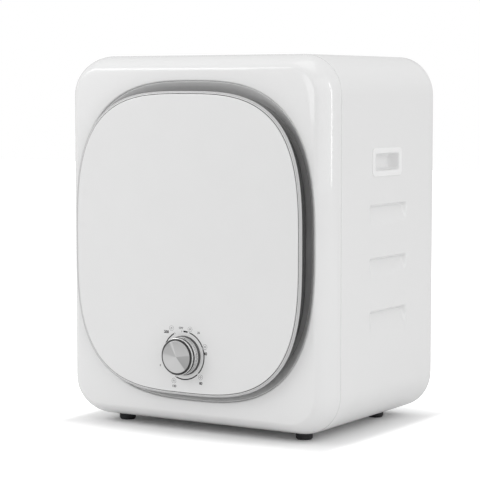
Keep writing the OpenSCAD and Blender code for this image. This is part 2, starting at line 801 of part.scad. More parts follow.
// The liner: a pan on the back of the rim with a raised disc, slotted for the hinges
module door_liner() color("whitesmoke") placed() difference() {
    union() {
        translate([0, 0, door_z]) slab(rim_back_y, liner_y) squircle(liner_w, liner_h, door_n);
        translate([0, liner_y, drum_z]) rotate([-90, 0, 0])
            cylinder(r1 = bulge_r, r2 = bulge_r - bulge_slope, h = liner_bulge);
    }
    translate([0, 0, door_z]) slab(rim_back_y - eps, liner_y - liner_t)
        squircle(liner_w - 2 * liner_t, liner_h - 2 * liner_t, door_n);
    translate([0, liner_y - liner_t - eps, drum_z]) rotate([-90, 0, 0])
        cylinder(r1 = bulge_r - liner_t, r2 = bulge_r - bulge_slope - liner_t, h = liner_bulge + eps);
    each_hinge() translate([-door_w / 2, rim_back_y - eps, -hinge_h / 2 - 2])
        cube([rim_ledge + leaf_l / 2, hinge_y + knuckle_r + 2 - rim_back_y + eps, hinge_h + 4]);
}

// One moving hinge half: a knuckle on a leaf that lies on the rim
module hinge_leaf() {
    tall = hinge_h / 2 - 2 * seat_gap;
    difference() {
        union() {
            translate([-hinge_x, hinge_y, -tall / 2]) cylinder(r = knuckle_r, h = tall);
            translate([-hinge_x, rim_back_y, -tall / 2]) cube([leaf_l, leaf_t, tall]);
        }
        translate([-hinge_x, hinge_y, -tall]) cylinder(r = pin_r + run_gap, h = 2 * tall);
    }
}

module hinge_leaves() color("silver") placed() each_hinge() hinge_leaf();

liner_screw_in = 16;

module liner_screws() color("slategray") placed()
    for (a = [22.5:45:360]) let (c = cos(a), s = sin(a))
        translate([sign(c) * (liner_w / 2 - liner_screw_in) * pow(abs(c), 2 / door_n), 0,
            door_z + sign(s) * (liner_h / 2 - liner_screw_in) * pow(abs(s), 2 / door_n)])
            rod(0, 0, liner_y, liner_y + 0.9 * screw_h, 0.9 * screw_r);

module door_magnet() color("dimgray") placed()
    translate([catch_x - catch_w / 2 + 1, liner_y, door_z - catch_h / 2 + 3])
        cube([catch_w - 2, recess_d - catch_t - liner_y - seat_gap, catch_h - 6]);

dial_t = 3;

module dial_ring() color("silver") placed() {
    ring(0, knob_z, panel_y - dial_t + 1, panel_y, dial_r, shaft_r + 1);
    ring(0, knob_z, panel_y - dial_t, panel_y - dial_t + 1, dial_r - 1, shaft_r + 1);
}

selector_w = 44;
selector_d = 22;

module program_switch() color("dimgray") placed() difference() {
    translate([-selector_w / 2, panel_back_y, knob_z - selector_w / 2])
        cube([selector_w, selector_d, selector_w]);
    rod(0, knob_z, panel_back_y - eps, panel_back_y + selector_d - 4, shaft_r + run_gap);
}

knob_back_y = panel_y - dial_t - seat_gap;
cap_t = 1.2;
head_top = knob_h - dial_t - seat_gap;
head_at = head_top - head_l;
head_r = knob_r - 0.5;
head_bevel = 2.2;
cap_seat_r = cap_r + 0.2;

shaft_end = 4;

// A turned knob: a flared skirt, a waist and a head with a bevelled edge
module knob_body() color("silver") placed() difference() {
    translate([0, knob_back_y, knob_z]) rotate([90, 0, 0]) rotate_extrude()
        polygon([[0, 0], [knob_r, 0], [knob_r, 1.2], [waist_r + 0.6, head_at - 1.5],
            [waist_r, head_at - 0.8], [waist_r, head_at], [head_r, head_at],
            [head_r, head_top - head_bevel], [cap_seat_r + 0.4, head_top], [cap_seat_r, head_top],
            [cap_seat_r, head_top - cap_t], [0, head_top - cap_t]]);
    rod(0, knob_z, knob_y + shaft_end, knob_back_y + eps, shaft_r);
}

module knob_cap() color("silver") placed()
    translate([0, knob_y + cap_t, knob_z]) rotate([90, 0, 0]) cylinder(r = cap_r, h = cap_t);

module knob_shaft() color("lightslategray") placed()
    rod(0, knob_z, knob_y + shaft_end, panel_back_y + selector_d - 5, shaft_r);

front_r = glide_r + seat_gap;

module drum_shell() color("lightgray") placed()
    ring(0, drum_z, drum_front_y, drum_back_y, drum_r, drum_r - drum_t);

// The drum's front ring, turned in to a neck that runs on the felt
module drum_front() color("silver") placed() {
    ring(0, drum_z, drum_front_y, drum_front_y + drum_t, drum_r - drum_t, front_r);
    ring(0, drum_z, drum_front_y, collar_back_y + drum_t, front_r + drum_t, front_r);
}

// Rows of round holes outside the filter and a ring of larger ones behind it
hole_r = 5;
hole_row_r = 118;
hole_row_pitch = 26;
filter_hole_r = 8;

module drum_rear_wall() color("silver") placed()
    slab(drum_back_y - 2, drum_back_y) translate([0, drum_z]) difference() {
        circle(drum_r - drum_t);
        for (k = [0:2]) for (a = [0:15:345]) rotate(a + k * 7.5)
            translate([hole_row_r + k * hole_row_pitch, 0]) circle(hole_r - k * 0.5);
        for (a = [0:30:330]) rotate(a) translate([filter_r / 2 + 4, 0]) circle(filter_hole_r);
    }

// A lifter: a low ridge with a rounded crest and sloping ends
module lifter() {
    base = drum_r - drum_t;
    crest = 9;
    foot = 26;
    front_room = 10;
    back_room = 8;
    root = 12;
    root_t = 8;
    intersection() {
        slab(drum_front_y + front_room, drum_back_y - back_room) {
            translate([base - lifter_h + crest, 0]) circle(crest);
            polygon([[base - lifter_h + crest, -crest], [base - 2, -foot], [base - 2, foot],
                [base - lifter_h + crest, crest]]);
            translate([base - root, -foot]) square([root_t, 2 * foot]);
        }
        rod(0, 0, drum_front_y, drum_back_y, base);
    }
}

module drum_lifters() color("lightgray") placed() translate([0, 0, drum_z])
    for (i = [0:lifter_count - 1]) rotate([0, 90 + i * 360 / lifter_count, 0]) lifter();

axle_flange_r = 36;

module drum_shaft() color("slategray") placed() {
    rod(0, drum_z, drum_back_y, axle_end_y, axle_r);
    rod(0, drum_z, drum_back_y, drum_back_y + 3, axle_flange_r);
}

filter_back_y = drum_back_y - drum_t - seat_gap;
filter_front_y = filter_back_y - filter_d;
filter_hub_r = 20;
filter_hub_l = 12;
filter_face = 2.5;
filter_slot = 28;
filter_rim = 12;
filter_wall = 6;
filter_bevel = 4;
slot_pitch = 10;
slot_w = 5;
slot_cut = 12;

module filter_frame() color("white") placed() difference() {
    translate([0, filter_back_y, drum_z]) rotate([90, 0, 0]) rotate_extrude()
        polygon([[filter_r - filter_rim, 0], [filter_r, 0], [filter_r, filter_bevel],
            [filter_r - filter_bevel, filter_d], [filter_hub_r, filter_d],
            [filter_hub_r, filter_d - filter_face], [filter_r - filter_wall, filter_d - filter_face],
            [filter_r - filter_rim, filter_bevel]]);
    for (a = [0:45:315]) translate([0, filter_front_y + filter_d / 3, drum_z]) rotate([90, a, 0])
        translate([filter_r / 2 + 2, 0, -1]) for (k = [-1:1]) translate([0, k * slot_pitch, 0])
            cube([filter_slot, slot_w, slot_cut], center = true);
}

module filter_mesh() color("lightblue") placed() {
    rod(0, drum_z, filter_front_y - filter_hub_l / 2, filter_front_y + filter_hub_l / 2,
        filter_hub_r);
    ring(0, drum_z, filter_back_y - filter_bevel, filter_back_y - filter_bevel / 2,
        filter_r - filter_rim, filter_hub_r - 2);
}

module motor_shaft() color("silver") placed()
    rod(motor_x, motor_z, belt_y - pulley_w / 2 - 2, fan_belt_y + pulley_w / 2 - 2, motor_shaft_r);

// A pulley with a flange on each side of its belt
module pulley(x, z, y, r, bore) {
    difference() {
        union() {
            rod(x, z, y - pulley_w / 2, y + pulley_w / 2, r);
            rod(x, z, y - pulley_w / 2, y - belt_w / 2 - 0.5, r + belt_t);
            rod(x, z, y + belt_w / 2 + 0.5, y + pulley_w / 2, r + belt_t);
        }
        rod(x, z, y - pulley_w, y + pulley_w, bore);
    }
}

module motor_pulleys() color("dimgray") placed() {
    pulley(motor_x, motor_z, belt_y, drum_drive_r, motor_shaft_r);
    pulley(motor_x, motor_z, fan_belt_y, fan_drive_r, motor_shaft_r);
}

// One forward-curved blade, from the eye to the outer edge
module blade() {
    inner = eye_r - 4;
    bend = 26;
    for (k = [0:3]) let (u0 = k / 4, u1 = (k + 1) / 4)
        polygon([for (q = [[u0, -0.9], [u1, -0.9], [u1, 0.9], [u0, 0.9]])
            let (r = inner + (fan_r - inner) * q[0], a = bend * q[0] * q[0] + q[1] * 57.3 / r)
            [r * cos(a), r * sin(a)]]);
}

module fan_impeller() color("white") placed() {
    ring(0, drum_z, fan_y + fan_w - 2, fan_y + fan_w, fan_r, sleeve_r + run_gap);
    ring(0, drum_z, fan_y + 6, fan_belt_y - pulley_w / 2, hub_r, sleeve_r + run_gap);
    ring(0, drum_z, fan_y, fan_y + 1.5, fan_r, eye_r - 4);
    slab(fan_y, fan_y + fan_w) translate([0, drum_z])
        for (i = [0:blade_count - 1]) rotate(i * 360 / blade_count) blade();
}

module fan_pulley() color("dimgray") placed()
    pulley(0, drum_z, fan_belt_y, fan_pulley_r, sleeve_r + run_gap);

module switch_plunger() color("orangered") placed()
    rod(switch_x, switch_z, liner_y + seat_gap, bulk_back_y + switch_d - 6, plunger_r);

cabinet_shell();
front_frame();
recess_lip();
front_bulkhead();
mouth_collar();
door_seal();
drum_glide_ring();
rear_bulkhead();
bearing_housing();
drum_bearings();
fan_housing();
exhaust_collar();
heater_box();
ptc_heater();
rear_cover();
cover_screws();
cord_gland();
motor_body();
motor_bracket();
run_capacitor();
drum_belt();
fan_belt();
base_plate();
foot_front_left();
foot_front_right();
foot_rear_left();
foot_rear_right();
foot_screws();
handle_left();
handle_right();
terminal_block();
thermostat();
hinge_brackets();
hinge_pins();
catch_plate();
door_switch();
door_panel();
door_rim();
door_edge_trim();
door_liner();
hinge_leaves();
liner_screws();
door_magnet();
dial_ring();
program_switch();
knob_body();
knob_cap();
knob_shaft();
drum_shell();
drum_front();
drum_rear_wall();
drum_lifters();
drum_shaft();
filter_frame();
filter_mesh();
motor_shaft();
motor_pulleys();
fan_impeller();
fan_pulley();
switch_plunger();
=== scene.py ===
import json
import math

import bpy
import numpy as np
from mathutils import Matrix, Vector


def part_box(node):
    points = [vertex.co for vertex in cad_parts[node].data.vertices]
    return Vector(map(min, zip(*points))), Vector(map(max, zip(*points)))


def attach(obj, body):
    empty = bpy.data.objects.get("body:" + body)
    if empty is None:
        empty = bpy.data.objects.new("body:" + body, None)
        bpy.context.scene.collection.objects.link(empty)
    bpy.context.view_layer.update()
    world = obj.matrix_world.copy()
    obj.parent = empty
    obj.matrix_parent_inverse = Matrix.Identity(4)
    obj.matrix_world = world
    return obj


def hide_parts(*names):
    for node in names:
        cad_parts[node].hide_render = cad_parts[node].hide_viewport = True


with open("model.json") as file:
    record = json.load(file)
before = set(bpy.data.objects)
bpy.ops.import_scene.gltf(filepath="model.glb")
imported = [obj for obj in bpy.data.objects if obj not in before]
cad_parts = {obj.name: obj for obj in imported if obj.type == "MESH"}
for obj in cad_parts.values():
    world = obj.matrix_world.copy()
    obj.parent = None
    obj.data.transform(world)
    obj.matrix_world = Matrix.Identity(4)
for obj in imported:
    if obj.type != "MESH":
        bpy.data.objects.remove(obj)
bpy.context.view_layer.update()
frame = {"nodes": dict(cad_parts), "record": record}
NODES = frame["nodes"]
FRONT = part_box("front_frame")[0].y      # the front plane in metres; depths below run back from it, in mm

# ---------------------------------------------------------------- sizes in mm, as the solids have them
BODY_W, BODY_D, BODY_H, BODY_R, BODY_Z = 490.0, 357.0, 588.0, 64.0, 306.0
FRAME_D, SOFT_W, SOFT_N = 46.0, 23.0, 1.7           # the frame's depth, its soft edge's width and power
OPEN_W, OPEN_H, OPEN_Z, OPEN_N = 446.0, 504.0, 307.0, 2.87
DOOR_W, DOOR_H, DOOR_Z, DOOR_N = 426.0, 474.0, 305.0, 3.1
PANEL_Y, KNOB_Z = -21.0, 129.0                      # the door's front face, the knob's height
HINGES = (243.0, 367.0)                             # heights of the two hinges

# light, as shares of a fully white surface, and the lamps: name, place, aim, size and watts
SKY, FLOOR, GLOW = 0.72, 0.85, 0.60
LIGHTS = [("top_light", (0.1, -0.1, 2.6), (0, 0, 0.4), (1.6, 1.6), 5.5),
          ("left_light", (-1.3, -1.5, 1.3), (-0.1, 0, 0.4), (1.0, 1.0), 9.4),
          ("front_light", (-0.4, -2.3, 0.66), (0, -0.1, 0.5), (0.8, 0.4), 1.8),
          ("right_light", (3.2, -0.6, 1.6), (0.1, 0, 0.4), (4.0, 3.0), 20),
          ("edge_light", (3.05, 0.91, 1.25), (0.24, -0.14, 1.25), (0.22, 2.0), 6)]


def P(x, y, z):
    """A point in metres from its place across, its depth behind the front plane and its height in mm."""
    return (x / 1000, FRONT + y / 1000, z / 1000)


def put(name, data):
    o = bpy.data.objects.new(name, data)
    bpy.context.scene.collection.objects.link(o)
    return o


# ---------------------------------------------------------------- camera
CAMERA_TURN, CAMERA_RISE = math.radians(32.25), math.radians(4.59)
CAMERA_AIM, CAMERA_AWAY, CAMERA_LENS = (-0.035, 0.0344, 0.2946), 3.077, 137.62

camera = put("camera", bpy.data.cameras.new("camera"))
away = Vector((math.sin(CAMERA_TURN) * math.cos(CAMERA_RISE), -math.cos(CAMERA_TURN) * math.cos(CAMERA_RISE),
               math.sin(CAMERA_RISE)))
camera.location = Vector(CAMERA_AIM) + away * CAMERA_AWAY
camera.rotation_euler = (math.radians(90) - CAMERA_RISE, 0, CAMERA_TURN)
camera.data.sensor_width = 36
camera.data.lens = CAMERA_LENS
bpy.context.scene.camera = camera
bpy.context.scene.view_settings.view_transform = "Standard"


# ---------------------------------------------------------------- materials
def node(nt, kind, **sockets):
    n = nt.nodes.new(kind)
    for k, v in sockets.items():
        n.inputs[k].default_value = v
    return n


def noise(nt, place, scale, detail=2.0):
    n = node(nt, "ShaderNodeTexNoise", Scale=scale, Detail=detail)
    nt.links.new(place, n.inputs["Vector"])
    return n.outputs["Fac"]


def ramp(nt, value, stops):
    """Colour by a value; the stops are (position, colour) in rising order, and a number is a grey."""
    n = nt.nodes.new("ShaderNodeValToRGB")
    elements = n.color_ramp.elements
    for i, (position, color) in enumerate(stops):
        stop = elements[i] if i < 2 else elements.new(1.0)
        stop.position = position
        stop.color = (*((color,) * 3 if isinstance(color, (int, float)) else color), 1)
    nt.links.new(value, n.inputs["Fac"])
    return n.outputs["Color"]


def multiply(nt, a, b):
    n = node(nt, "ShaderNodeMixRGB", Fac=1.0)
    n.blend_type = "MULTIPLY"
    nt.links.new(a, n.inputs["Color1"])
    nt.links.new(b, n.inputs["Color2"])
    return n.outputs["Color"]


def relief(nt, bsdf, height, strength, mm):
    n = node(nt, "ShaderNodeBump", Strength=strength, Distance=mm / 1000)
    nt.links.new(height, n.inputs["Height"])
    nt.links.new(n.outputs["Normal"], bsdf.inputs["Normal"])


def new_material(name, **sockets):
    """A material with sockets set on its shader; gives it, its nodes, the shader and its coordinates."""
    m = bpy.data.materials.new(name)
    m.use_nodes = True
    nt = m.node_tree
    bsdf = nt.nodes["Principled BSDF"]
    for k, v in sockets.items():
        bsdf.inputs[k.replace("_", " ")].default_value = v
    return m, nt, bsdf, nt.nodes.new("ShaderNodeTexCoord").outputs["Object"]


def finish_material(name, color, rough=0.4, metallic=0.0, coat=0.0, coat_rough=0.1, spec=0.5, sheen=0.0,
                    aniso=0.0, var=0.03, rough_var=0.06, scale=60.0, detail=4.0, stretch=(1, 1, 1),
                    bump=0.08, bump_mm=0.05, bump_scale=None, wear=0.0, grime=0.0):
    """A surface with one noise for colour and gloss and another for relief; a number as colour is a grey."""
    m, nt, b, place = new_material(name, Metallic=metallic, Coat_Weight=coat, Coat_Roughness=coat_rough,
                                   Specular_IOR_Level=spec, Anisotropic=aniso)
    if sheen:
        b.inputs["Sheen Weight"].default_value = sheen
        b.inputs["Sheen Roughness"].default_value = 0.5
    mapping = node(nt, "ShaderNodeMapping", Scale=stretch)
    nt.links.new(place, mapping.inputs["Vector"])
    broad = noise(nt, mapping.outputs["Vector"], scale, detail)
    rgb = (color,) * 3 if isinstance(color, float) else color
    col = ramp(nt, broad, [(position, [min(1, c * share) for c in rgb])
                           for position, share in ((0.3, 1 - var), (0.7, 1 + var))])
    if grime:
        # a broad, faint darkening as on surfaces that are handled or warm
        col = multiply(nt, col, ramp(nt, noise(nt, place, scale * 0.12), [(0.35, 1 - grime), (0.75, 1)]))
    if wear:
        # edges rubbed lighter
        edges = nt.nodes.new("ShaderNodeNewGeometry").outputs["Pointiness"]
        col = multiply(nt, col, ramp(nt, edges, [(0.52, 1), (0.62, 1 + wear)]))
    nt.links.new(col, b.inputs["Base Color"])
    gloss = nt.nodes.new("ShaderNodeMapRange")
    gloss.inputs["To Min"].default_value = max(0.02, rough - rough_var)
    gloss.inputs["To Max"].default_value = min(1.0, rough + rough_var)
    nt.links.new(broad, gloss.inputs["Value"])
    nt.links.new(gloss.outputs["Result"], b.inputs["Roughness"])
    relief(nt, b, noise(nt, mapping.outputs["Vector"], bump_scale or scale * 6, 3.0), bump, bump_mm)
    return m


# metal with fine lines along one direction
BRUSHED = dict(metallic=1.0, rough_var=0.10, scale=30, bump=0.12, bump_mm=0.02, bump_scale=90, aniso=0.6)
SURFACES = {
    "shell_white": dict(color=0.8, rough=0.30, coat=0.35, coat_rough=0.12, var=0.003, rough_var=0.012,
                        scale=6, bump=0.10, bump_mm=0.03, bump_scale=420),
    "frame_white": dict(color=0.8, rough=0.40, coat=1.0, coat_rough=0.05, var=0.003, rough_var=0.012,
                        scale=6, bump=0.02, bump_mm=0.02, bump_scale=500),
    "cup_white": dict(color=0.86, rough=0.42, var=0.01, rough_var=0.05, scale=40, bump=0.2, bump_mm=0.03,
                      bump_scale=900),
    "lip_grey": dict(color=0.93, rough=0.42, var=0.02, scale=40, bump=0.15, bump_mm=0.03, bump_scale=900),
    "bulkhead_grey": dict(color=0.42, rough=0.45, var=0.02, scale=30, bump=0.1, bump_mm=0.03, grime=0.04),
    "galvanised": dict(color=(0.60, 0.62, 0.64), rough=0.42, metallic=0.9, var=0.10, rough_var=0.12, scale=22,
                       bump=0.1, detail=1.0),
    "cover_grey": dict(color=(0.70, 0.71, 0.72), rough=0.38, metallic=0.15, var=0.015, scale=30, bump=0.14,
                       bump_mm=0.04, bump_scale=500, grime=0.03),
    "rubber_black": dict(color=(0.022, 0.022, 0.024), rough=0.7, var=0.15, scale=120, bump=0.3, grime=0.2),
    "seal_grey": dict(color=0.12, rough=0.62, var=0.1, scale=120, bump=0.25),
    "felt_tan": dict(color=(0.50, 0.43, 0.33), rough=0.95, var=0.16, scale=260, bump=0.8, bump_mm=0.4,
                     bump_scale=1600, sheen=0.5, spec=0.2),
    "bright_steel": dict(color=(0.66, 0.67, 0.69), rough=0.26, metallic=1.0, var=0.05, rough_var=0.08,
                         scale=80, bump_mm=0.02, wear=0.1),
    "duct_plastic": dict(color=(0.62, 0.64, 0.66), rough=0.55, scale=50, bump=0.2, bump_mm=0.04, grime=0.05),
    "collar_white": dict(color=0.77, rough=0.45, var=0.012, scale=50, bump=0.15, bump_mm=0.03),
    "ceramic_fins": dict(color=(0.62, 0.56, 0.42), metallic=0.8, var=0.08, scale=90, bump=0.2),
    "motor_paint": dict(color=(0.10, 0.115, 0.13), metallic=0.3, var=0.08, scale=70, bump=0.2, wear=0.3),
    "capacitor_white": dict(color=(0.74, 0.74, 0.70), rough=0.35, var=0.02, scale=40, bump=0.1, bump_mm=0.02),
    "terminal_ivory": dict(color=(0.66, 0.62, 0.50), rough=0.5, var=0.04, bump=0.2, bump_mm=0.03),
    "door_white": dict(color=0.76, rough=0.24, coat=0.30, coat_rough=0.08, var=0.005, rough_var=0.02,
                       scale=20, bump=0.06, bump_mm=0.02, bump_scale=420),
    "rim_white": dict(color=0.54, rough=0.3, coat=0.2, var=0.006, scale=25, bump_mm=0.02, bump_scale=500),
    "trim_silver": dict(color=0.70, rough=0.3, metallic=0.2, coat=0.3, var=0.01, scale=90, bump=0.02,
                        bump_mm=0.005),
    "liner_white": dict(color=0.76, var=0.012, scale=30, bump=0.15, bump_mm=0.03, bump_scale=700),
    "magnet_dark": dict(color=(0.06, 0.06, 0.065), rough=0.5, metallic=0.4, var=0.1, scale=90, bump=0.2),
    "switch_black": dict(color=(0.035, 0.035, 0.038), rough=0.45, var=0.1, scale=90, bump=0.2),
    # dial_silver is near black: painted shade for the contact shadow round the knob's foot
    "dial_silver": dict(color=0.1, rough=0.32, metallic=0.6, var=0.02, bump_mm=0.02),
    # knob_dark: near black, laid on the knob's side and bevel as painted reflection of dark surroundings
    "knob_dark": dict(color=0.035, rough=0.3, metallic=0.3, var=0.04, bump_mm=0.02),
    "knob_silver": dict(color=0.66, rough=0.26, stretch=(6, 120, 6), var=0.05, **BRUSHED),
    "drum_steel": dict(color=(0.62, 0.63, 0.64), rough=0.30, stretch=(40, 2, 40), var=0.06, **BRUSHED),
    "lifter_grey": dict(color=0.5, rough=0.5, scale=50, bump=0.25, bump_mm=0.04, bump_scale=700),
    "filter_white": dict(color=0.76, rough=0.5, var=0.015, scale=50, bump=0.2, bump_mm=0.03),
    "mesh_blue": dict(color=(0.30, 0.40, 0.48), rough=0.8, var=0.12, scale=300, bump=0.6, bump_mm=0.2,
                      bump_scale=1500, sheen=0.3),
    "plunger_red": dict(color=(0.50, 0.09, 0.04), var=0.05, scale=80, bump=0.1),
    "print_grey": dict(color=0.012, rough=0.6, var=0.05, scale=200, bump=0.1, bump_mm=0.01),
}

# painted reflection: grey of the cap's sheen by direction from its middle, in degrees anticlockwise from the
# right
CAP_PAINTED_SHEEN = [(-180, 0.60), (-150, 0.64), (-60, 0.62), (-51, 0.60), (-46, 0.38), (6, 0.42), (12, 0.55),
               (60, 0.56), (104, 0.56), (110, 0.68), (116, 0.68), (124, 0.49), (164, 0.49), (180, 0.60)]
CAP_LINE = 0.0006                                   # metres between the cap's turned lines


def spun_cap(name):
    """Turned aluminium: painted reflection as light and dark sectors round the centre, over fine circular
    lines.
    """
    m, nt, b, place = new_material(name, Metallic=1.0, Roughness=0.28, Anisotropic=0.5)
    axes = nt.nodes.new("ShaderNodeSeparateXYZ")
    nt.links.new(place, axes.inputs["Vector"])

    def op(kind, *values):
        n = nt.nodes.new("ShaderNodeMath")
        n.operation = kind
        for socket, v in zip(n.inputs, values):
            if isinstance(v, (int, float)):
                socket.default_value = v
            else:
                nt.links.new(v, socket)
        return n.outputs[0]

    angle = op("ARCTAN2", axes.outputs["Z"], axes.outputs["X"])
    turn = op("ADD", op("MULTIPLY", angle, 1 / (2 * math.pi)), 0.5)
    # the sectors' greys, set into the base colour, are painted reflection
    sheen = ramp(nt, turn, [(degrees / 360 + 0.5, grey) for degrees, grey in CAP_PAINTED_SHEEN])
    nt.links.new(sheen, b.inputs["Base Color"])
    squares = [op("POWER", op("ABSOLUTE", axes.outputs[axis]), 2.0) for axis in "XZ"]
    lines = op("SINE", op("MULTIPLY", op("SQRT", op("ADD", *squares)), 2 * math.pi / CAP_LINE))
    relief(nt, b, op("ADD", lines, noise(nt, place, 500.0)), 0.12, 0.02)
    return m


M = {name: finish_material(name, **how) for name, how in SURFACES.items()}
M["cap_spun"] = spun_cap("cap_spun")

slot_of = {s["node"]: s["material_slot"] for s in frame["record"]["subparts"]}
for n, o in NODES.items():
    o.data.materials.clear()
    o.data.materials.append(M[slot_of[n]])


# ---------------------------------------------------------------- mesh helpers
def piece(name, verts, faces, mat, body, replaces=(), sharp=35.0, origin=None):
    """A mesh with its material, its body and the nodes that it replaces."""
    me = bpy.data.meshes.new(name)
    if origin is not None:
        verts = [tuple(np.subtract(v, origin)) for v in verts]
    me.from_pydata([tuple(map(float, v)) for v in verts], [], faces)
    me.validate()
    me.shade_smooth()
    me.set_sharp_from_angle(angle=math.radians(sharp))
    me.materials.append(M[mat])
    o = put(name, me)
    if origin is not None:
        o.location = origin
    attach(o, body)
    if replaces:
        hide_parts(*replaces)
    return o


def ring_faces(count, rings, wrap=False, flip=False):
    """Faces between rings of count points each; wrap joins the last ring to the first."""
    out = []
    for i in range(rings if wrap else rings - 1):
        for k in range(count):
            a, b = i * count + k, i * count + (k + 1) % count
            c, d = ((i + 1) % rings) * count + (k + 1) % count, ((i + 1) % rings) * count + k
            out.append((a, d, c, b) if flip else (a, b, c, d))
    return out


def loft(name, rings, mat, body, replaces=(), sharp=35.0, flip=False, origin=None):
    """Skins rings of equal length, the last one joined to the first."""
    faces = ring_faces(len(rings[0]), len(rings), wrap=True, flip=flip)
    return piece(name, [p for r in rings for p in r], faces, mat, body, replaces, sharp, origin)


def squircle(w, h, n, cz, y, count):
    """Points of a superellipse, evenly spaced along its outline."""
    t = np.linspace(0, 2 * np.pi, 8001)
    c, s = np.cos(t), np.sin(t)
    x = np.sign(c) * w / 2 * np.abs(c) ** (2 / n)
    z = np.sign(s) * h / 2 * np.abs(s) ** (2 / n)
    d = np.r_[0, np.cumsum(np.hypot(np.diff(x), np.diff(z)))]
    u = np.linspace(0, d[-1], count + 1)[:-1]
    return [P(a, y, cz + b) for a, b in zip(np.interp(u, d, x), np.interp(u, d, z))]


# ---------------------------------------------------------------- front frame
# Its rings lie round the opening's middle, all of them at the same directions TH.
def outside(x, z):
    """Distance of a point outside the cabinet's rounded outline; it is negative inside."""
    qx, qz = np.abs(x) - (BODY_W / 2 - BODY_R), np.abs(z - BODY_Z) - (BODY_H / 2 - BODY_R)
    return np.hypot(np.maximum(qx, 0), np.maximum(qz, 0)) + np.minimum(np.maximum(qx, qz), 0) - BODY_R


def crown_depth(off):
    """Depth of the frame's soft edge at a distance inside its outline."""
    u = np.clip(1 - off / SOFT_W, 0, 1)
    a = np.arccos(u ** (SOFT_N / 2))
    return FRAME_D * (1 - np.sin(a) ** (2 / SOFT_N))


def open_radius(th, grow):
    """Distance from the opening's middle to its edge grown by an amount."""
    c, s = np.abs(np.cos(th)), np.abs(np.sin(th))
    return ((c / (OPEN_W / 2 + grow)) ** OPEN_N + (s / (OPEN_H / 2 + grow)) ** OPEN_N) ** (-1 / OPEN_N)


def body_radius(th, off):
    """Distance from the opening's middle to the cabinet's outline drawn in by off."""
    lo, hi = np.zeros_like(th), np.full_like(th, 500.0)
    for _ in range(44):
        mid = (lo + hi) / 2
        out = outside(mid * np.cos(th), OPEN_Z + mid * np.sin(th)) > -off
        hi = np.where(out, mid, hi)
        lo = np.where(out, lo, mid)
    return (lo + hi) / 2


def directions(count):
    """Directions that share out the length of the opening's edge and the cabinet's outline together."""
    edge = np.array(squircle(OPEN_W, OPEN_H, OPEN_N, 0, 0, 8000)) * 1000
    th = np.unwrap(np.arctan2(edge[:, 2], edge[:, 0]))
    out = body_radius(th, 0.0)
    steps = (np.hypot(np.diff(out * np.cos(th)), np.diff(out * np.sin(th)))
             + np.hypot(np.diff(edge[:, 0]), np.diff(edge[:, 2])))
    along = np.r_[0, np.cumsum(steps)]
    return np.interp(np.linspace(0, along[-1], count + 1)[:-1], along, th)


TH = directions(384)


def polar_ring(radius, y):
    y = np.broadcast_to(y, radius.shape)
    return [P(r * math.cos(t), yy, OPEN_Z + r * math.sin(t)) for r, t, yy in zip(radius, TH, y)]


def crown_at(radius):
    return crown_depth(-outside(radius * np.cos(TH), OPEN_Z + radius * np.sin(TH)))


ROLL = 3.2                                          # radius of the roll into the opening
inner_edge = open_radius(TH, ROLL)
soft_end = np.maximum(body_radius(TH, SOFT_W), inner_edge)
rings = [polar_ring(body_radius(TH, off), y) for off, y in ((1.1, 45.95), (0.35, 45.7), (0.05, 45.1))]
for a in np.radians([8, 14, 20, 27, 34, 41, 48, 55, 62, 68, 74, 80, 85, 90]):
    r = np.maximum(body_radius(TH, SOFT_W * (1 - math.cos(a) ** (2 / SOFT_N))), inner_edge)
    rings.append(polar_ring(r, crown_at(r)))
for t in (0.35, 0.7, 1.0):
    r = soft_end * (1 - t) + inner_edge * t
    rings.append(polar_ring(r, crown_at(r)))
for ph in np.radians([15, 30, 45, 60, 75, 90]):
    rings.append(polar_ring(open_radius(TH, ROLL * (1 - math.sin(ph))),
                            crown_at(inner_edge) * (1 - ph / (math.pi / 2)) + ROLL * (1 - math.cos(ph))))
# the opening's wall, the frame's back and the tongue that enters the shell
rings += [polar_ring(open_radius(TH, grow), y) for grow, y in ((0.0, 23.5), (2.4, 23.5), (2.4, 8.0))]
rings += [polar_ring(np.maximum(body_radius(TH, off), open_radius(TH, grow)), y)
          for off, grow, y in ((12.0, 3.4, 14.0), (4.0, 4.0, 30.0))]
rings += [polar_ring(body_radius(TH, off), y) for off, y in ((2.6, 45.0), (2.6, 51.5), (1.8, 51.5))]
loft("front_frame_form", rings, "frame_white", "cabinet", ["front_frame"], sharp=40)

# ---------------------------------------------------------------- recess lip
# how far it slopes in, its wall along the depth, and its front and rear depth
LIP_W, LIP_T, LIP_Y0, LIP_Y1 = 17.0, 3.0, 2.0, 24.5


def funnel(y, shift):
    """Radius of the lip's slope at a depth; the outer face is the same slope shifted to the rear."""
    return open_radius(TH, -0.3) * (1 - 2 * LIP_W / OPEN_W * (y - LIP_Y0 - shift) / (LIP_Y1 - LIP_Y0))


def cut(o, boxes):
    """Takes boxes, given as corner pairs in mm, out of a closed piece."""
    v, f = [], []
    for (x0, y0, z0), (x1, y1, z1) in boxes:
        first = len(v)
        v += [P(x, y, z) for x in (x0, x1) for y in (y0, y1) for z in (z0, z1)]
        f += [tuple(first + i for i in q) for q in ((0, 1, 3, 2), (4, 6, 7, 5), (0, 4, 5, 1), (2, 3, 7, 6),
                                                    (0, 2, 6, 4), (1, 5, 7, 3))]
    me = bpy.data.meshes.new("cutter")
    me.from_pydata(v, [], f)
    tool = put("cutter", me)
    m = o.modifiers.new("cut", "BOOLEAN")
    m.operation, m.solver, m.object = "DIFFERENCE", "EXACT", tool
    bpy.context.view_layer.update()
    made = bpy.data.meshes.new_from_object(o.evaluated_get(bpy.context.evaluated_depsgraph_get()))
    o.modifiers.remove(m)
    bpy.data.objects.remove(tool)
    o.data = made


